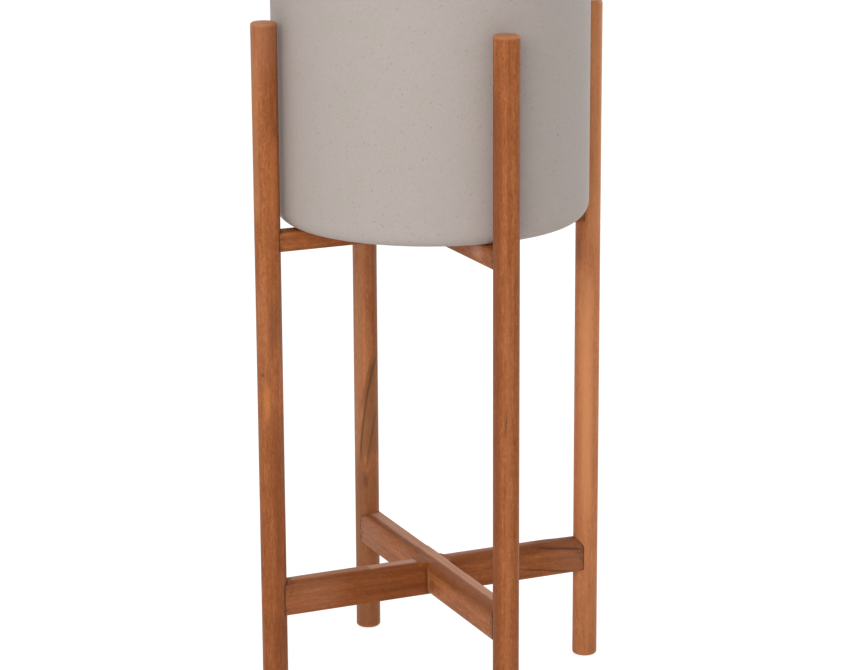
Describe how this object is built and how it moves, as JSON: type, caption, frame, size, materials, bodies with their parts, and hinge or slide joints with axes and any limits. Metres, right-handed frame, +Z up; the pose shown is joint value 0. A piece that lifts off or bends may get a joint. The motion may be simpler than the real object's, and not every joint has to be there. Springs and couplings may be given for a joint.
{
  "type": "planter with stand",
  "caption": "Cylindrical pot with a rounded foot edge, lifted off the floor between round wooden legs that lapped cross rails join at two levels.",
  "frame": {"origin": "on the floor, under the middle of the pot", "axes": "+Z up along the pot's axis, +X towards the right leg, -Y towards the front leg"},
  "size_m": [0.365, 0.365, 0.7561],
  "materials": {
    "oiled_hardwood": "oiled, satin",
    "dowel_wood": "bare",
    "clay": "matte, finely speckled",
    "soft_rubber": "matte",
    "screw_steel": "zinc plated"
  },
  "bodies": {
    "stand": {"leg_left": "oiled_hardwood", "leg_right": "oiled_hardwood", "leg_front": "oiled_hardwood", "leg_back": "oiled_hardwood", "lower_rail_left_right": "oiled_hardwood", "lower_rail_front_back": "oiled_hardwood", "upper_rail_left_right": "oiled_hardwood", "upper_rail_front_back": "oiled_hardwood", "lower_dowels_left": "dowel_wood", "lower_dowels_right": "dowel_wood", "lower_dowels_front": "dowel_wood", "lower_dowels_back": "dowel_wood", "upper_dowel_left": "dowel_wood", "upper_dowel_right": "dowel_wood", "upper_dowel_front": "dowel_wood", "upper_dowel_back": "dowel_wood", "lower_lap_screw": "screw_steel", "upper_lap_screw": "screw_steel"},
    "pot": {"pot": "clay"},
    "drain_plug": {"drain_plug": "soft_rubber"}
  },
  "joints": [
    {"name": "pot_lift", "type": "slide", "parent": "stand", "child": "pot", "axis": [0, 0, 1], "range_m": [0, 0.25]},
    {"name": "plug_pull", "type": "slide", "parent": "pot", "child": "drain_plug", "axis": [0, 0, 1], "range_m": [0, 0.3]}
  ]
}
